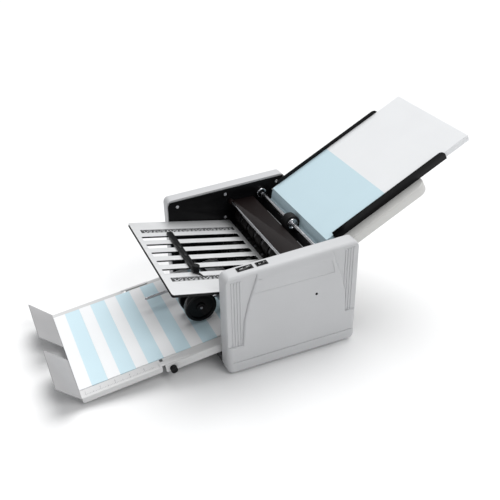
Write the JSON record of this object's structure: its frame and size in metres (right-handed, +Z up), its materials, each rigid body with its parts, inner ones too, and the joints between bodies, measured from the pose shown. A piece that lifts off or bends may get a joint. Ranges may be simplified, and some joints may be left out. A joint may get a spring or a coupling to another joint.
{
  "type": "paper folding machine",
  "caption": "Desktop paper folder with a sloped feed table, slotted fold plate, gear-driven fold rollers between side covers and a flat exit tray",
  "frame": {"origin": "centre of the machine's bounding box at table level", "axes": "+X from the exit tray towards the feed table, +Y across the paper from the operator's side to the far side, +Z up"},
  "size_m": [0.7702, 0.322, 0.3344],
  "materials": {
    "cover_plastic": "light grey moulded plastic, lightly textured",
    "black_steel": "black powder coat",
    "pan_steel": "dark grey paint",
    "foot_rubber": "matt",
    "bright_rod": "polished",
    "screw_steel": "bright zinc",
    "roller_steel": "ground steel",
    "roller_rubber": "dark grey rubber",
    "tyre_rubber": "black rubber",
    "gear_plastic": "natural acetal",
    "black_plastic": "black",
    "gloss_black": "black, glossy",
    "brown_panel": "dark brown, satin",
    "plate_steel": "bright stainless sheet",
    "tray_paint": "warm light grey paint",
    "motor_metal": "die-cast",
    "belt_rubber": "black belt",
    "paper": "plain paper"
  },
  "bodies": {
    "machine": {"near_side_plate": "black_steel", "far_side_plate": "black_steel", "base_pan": "pan_steel", "rubber_feet": "foot_rubber", "tie_bars": "bright_rod", "cover_screws": "screw_steel", "near_cover": "cover_plastic", "far_cover": "cover_plastic", "feed_table": "tray_paint", "feed_chutes": "black_steel", "pad_holder": "black_plastic", "retard_pad": "tyre_rubber", "feed_bushes": "black_plastic", "roller_bearings": "screw_steel", "drive_motor": "motor_metal", "drive_belt": "belt_rubber", "plate_rails": "black_steel", "lower_fold_plate": "plate_steel", "exit_tray": "tray_paint", "stacker_shaft": "black_steel", "switch_bodies": "black_plastic", "power_inlet": "black_plastic", "feed_stack": "paper", "folded_sheets": "paper"},
    "drive_roller": {"drive_fold_roller": "roller_steel", "drive_roller_sleeves": "roller_rubber", "drive_gear": "gear_plastic", "drive_pulley": "gear_plastic"},
    "upper_roller": {"upper_fold_roller": "roller_steel", "upper_roller_sleeves": "roller_rubber", "upper_gear": "gear_plastic"},
    "left_roller": {"left_fold_roller": "roller_steel", "left_roller_sleeves": "roller_rubber", "left_gear": "gear_plastic"},
    "exit_roller": {"exit_fold_roller": "roller_steel", "exit_roller_sleeves": "roller_rubber", "exit_gear": "gear_plastic"},
    "idler": {"idler_gear": "gear_plastic"},
    "feed_roller": {"feed_shaft": "bright_rod", "feed_tyre": "tyre_rubber", "feed_gear": "gear_plastic"},
    "motor_rotor": {"motor_pulley": "roller_steel"},
    "roller_cover": {"roller_cover": "brown_panel"},
    "near_guide": {"near_paper_guide": "black_steel"},
    "far_guide": {"far_paper_guide": "black_steel"},
    "near_guide_knob": {"near_guide_knob": "black_plastic"},
    "far_guide_knob": {"far_guide_knob": "black_plastic"},
    "upper_plate": {"upper_plate_top": "plate_steel", "upper_plate_bottom": "plate_steel"},
    "upper_stop": {"upper_stop": "black_plastic"},
    "upper_stop_knob": {"upper_stop_knob": "black_plastic"},
    "lower_stop": {"lower_stop": "black_plastic"},
    "tray_extension": {"tray_extension": "tray_paint"},
    "tray_lock_knob": {"tray_lock_knob": "black_plastic"},
    "wheel_arm": {"wheel_arm": "bright_rod"},
    "stacker_wheels": {"stacker_wheels": "gloss_black"},
    "hold_down": {"hold_down_rod": "bright_rod"},
    "power_rocker": {"power_rocker": "gloss_black"},
    "feed_rocker": {"feed_rocker": "gloss_black"}
  },
  "joints": [
    {"name": "drive_roller_spin", "type": "hinge", "parent": "machine", "child": "drive_roller", "pos_m": [0.03842, 0, 0.10803], "axis": [0, 1, 0], "continuous": true},
    {"name": "upper_roller_spin", "type": "hinge", "parent": "machine", "child": "upper_roller", "pos_m": [0.04509, 0, 0.13933], "axis": [0, 1, 0], "continuous": true},
    {"name": "left_roller_spin", "type": "hinge", "parent": "machine", "child": "left_roller", "pos_m": [0.00673, 0, 0.10358], "axis": [0, 1, 0], "continuous": true},
    {"name": "exit_roller_spin", "type": "hinge", "parent": "machine", "child": "exit_roller", "pos_m": [0.01229, 0, 0.07206], "axis": [0, 1, 0], "continuous": true},
    {"name": "idler_spin", "type": "hinge", "parent": "machine", "child": "idler", "pos_m": [0.07301, 0, 0.15134], "axis": [0, 1, 0], "continuous": true},
    {"name": "feed_roller_spin", "type": "hinge", "parent": "machine", "child": "feed_roller", "pos_m": [0.0885, 0, 0.1775], "axis": [0, 1, 0], "continuous": true},
    {"name": "motor_spin", "type": "hinge", "parent": "machine", "child": "motor_rotor", "pos_m": [0.108, 0, 0.097], "axis": [0, 1, 0], "continuous": true},
    {"name": "roller_cover_hinge", "type": "hinge", "parent": "machine", "child": "roller_cover", "pos_m": [0.0232, 0, 0.1732], "axis": [0, 1, 0], "range_deg": [-110, 0]},
    {"name": "near_guide_slide", "type": "slide", "parent": "machine", "child": "near_guide", "axis": [0, -1, 0], "range_m": [0, 0.008]},
    {"name": "far_guide_slide", "type": "slide", "parent": "machine", "child": "far_guide", "axis": [0, 1, 0], "range_m": [0, 0.008]},
    {"name": "near_guide_knob_turn", "type": "hinge", "parent": "near_guide", "child": "near_guide_knob", "pos_m": [0.2029, -0.09635, 0.22071], "axis": [-0.4633, 0, 0.8862], "continuous": true},
    {"name": "far_guide_knob_turn", "type": "hinge", "parent": "far_guide", "child": "far_guide_knob", "pos_m": [0.2029, 0.09635, 0.22071], "axis": [-0.4633, 0, 0.8862], "continuous": true},
    {"name": "upper_plate_slide", "type": "slide", "parent": "machine", "child": "upper_plate", "axis": [-0.9781, 0, 0.2083], "range_m": [0, 0.06]},
    {"name": "upper_stop_slide", "type": "slide", "parent": "upper_plate", "child": "upper_stop", "axis": [0.9781, 0, -0.2083], "range_m": [-0.046, 0.118]},
    {"name": "upper_stop_knob_turn", "type": "hinge", "parent": "upper_stop", "child": "upper_stop_knob", "pos_m": [-0.11901, -0.06, 0.1667], "axis": [0.2083, 0, 0.9781], "continuous": true},
    {"name": "lower_stop_slide", "type": "slide", "parent": "machine", "child": "lower_stop", "axis": [0.866, 0, -0.5], "range_m": [-0.04, 0.018]},
    {"name": "tray_extension_slide", "type": "slide", "parent": "machine", "child": "tray_extension", "axis": [-0.9929, 0, -0.1191], "range_m": [0, 0.035]},
    {"name": "tray_lock_knob_turn", "type": "hinge", "parent": "machine", "child": "tray_lock_knob", "pos_m": [-0.19148, -0.1318, 0.02835], "axis": [0, 1, 0], "continuous": true},
    {"name": "wheel_arm_pivot", "type": "hinge", "parent": "machine", "child": "wheel_arm", "pos_m": [-0.066, 0, 0.08], "axis": [0, 1, 0], "range_deg": [0, 25]},
    {"name": "stacker_wheel_spin", "type": "hinge", "parent": "wheel_arm", "child": "stacker_wheels", "pos_m": [-0.1105, 0, 0.07875], "axis": [0, 1, 0], "continuous": true},
    {"name": "hold_down_pivot", "type": "hinge", "parent": "machine", "child": "hold_down", "pos_m": [-0.066, 0, 0.08], "axis": [0, 1, 0], "range_deg": [0, 25]},
    {"name": "power_rocker_tip", "type": "hinge", "parent": "machine", "child": "power_rocker", "pos_m": [-0.06295, -0.141, 0.19863], "axis": [0, 1, 0], "range_deg": [0, 12]},
    {"name": "feed_rocker_tip", "type": "hinge", "parent": "machine", "child": "feed_rocker", "pos_m": [-0.03295, -0.141, 0.19983], "axis": [0, 1, 0], "range_deg": [0, 12]}
  ],
  "couplings": [
    {"joint": "upper_roller_spin", "follows": "drive_roller_spin", "ratio": -1},
    {"joint": "left_roller_spin", "follows": "drive_roller_spin", "ratio": -1},
    {"joint": "exit_roller_spin", "follows": "drive_roller_spin", "ratio": 1},
    {"joint": "idler_spin", "follows": "drive_roller_spin", "ratio": 1.1111},
    {"joint": "feed_roller_spin", "follows": "drive_roller_spin", "ratio": -1},
    {"joint": "motor_spin", "follows": "drive_roller_spin", "ratio": 2.75}
  ]
}
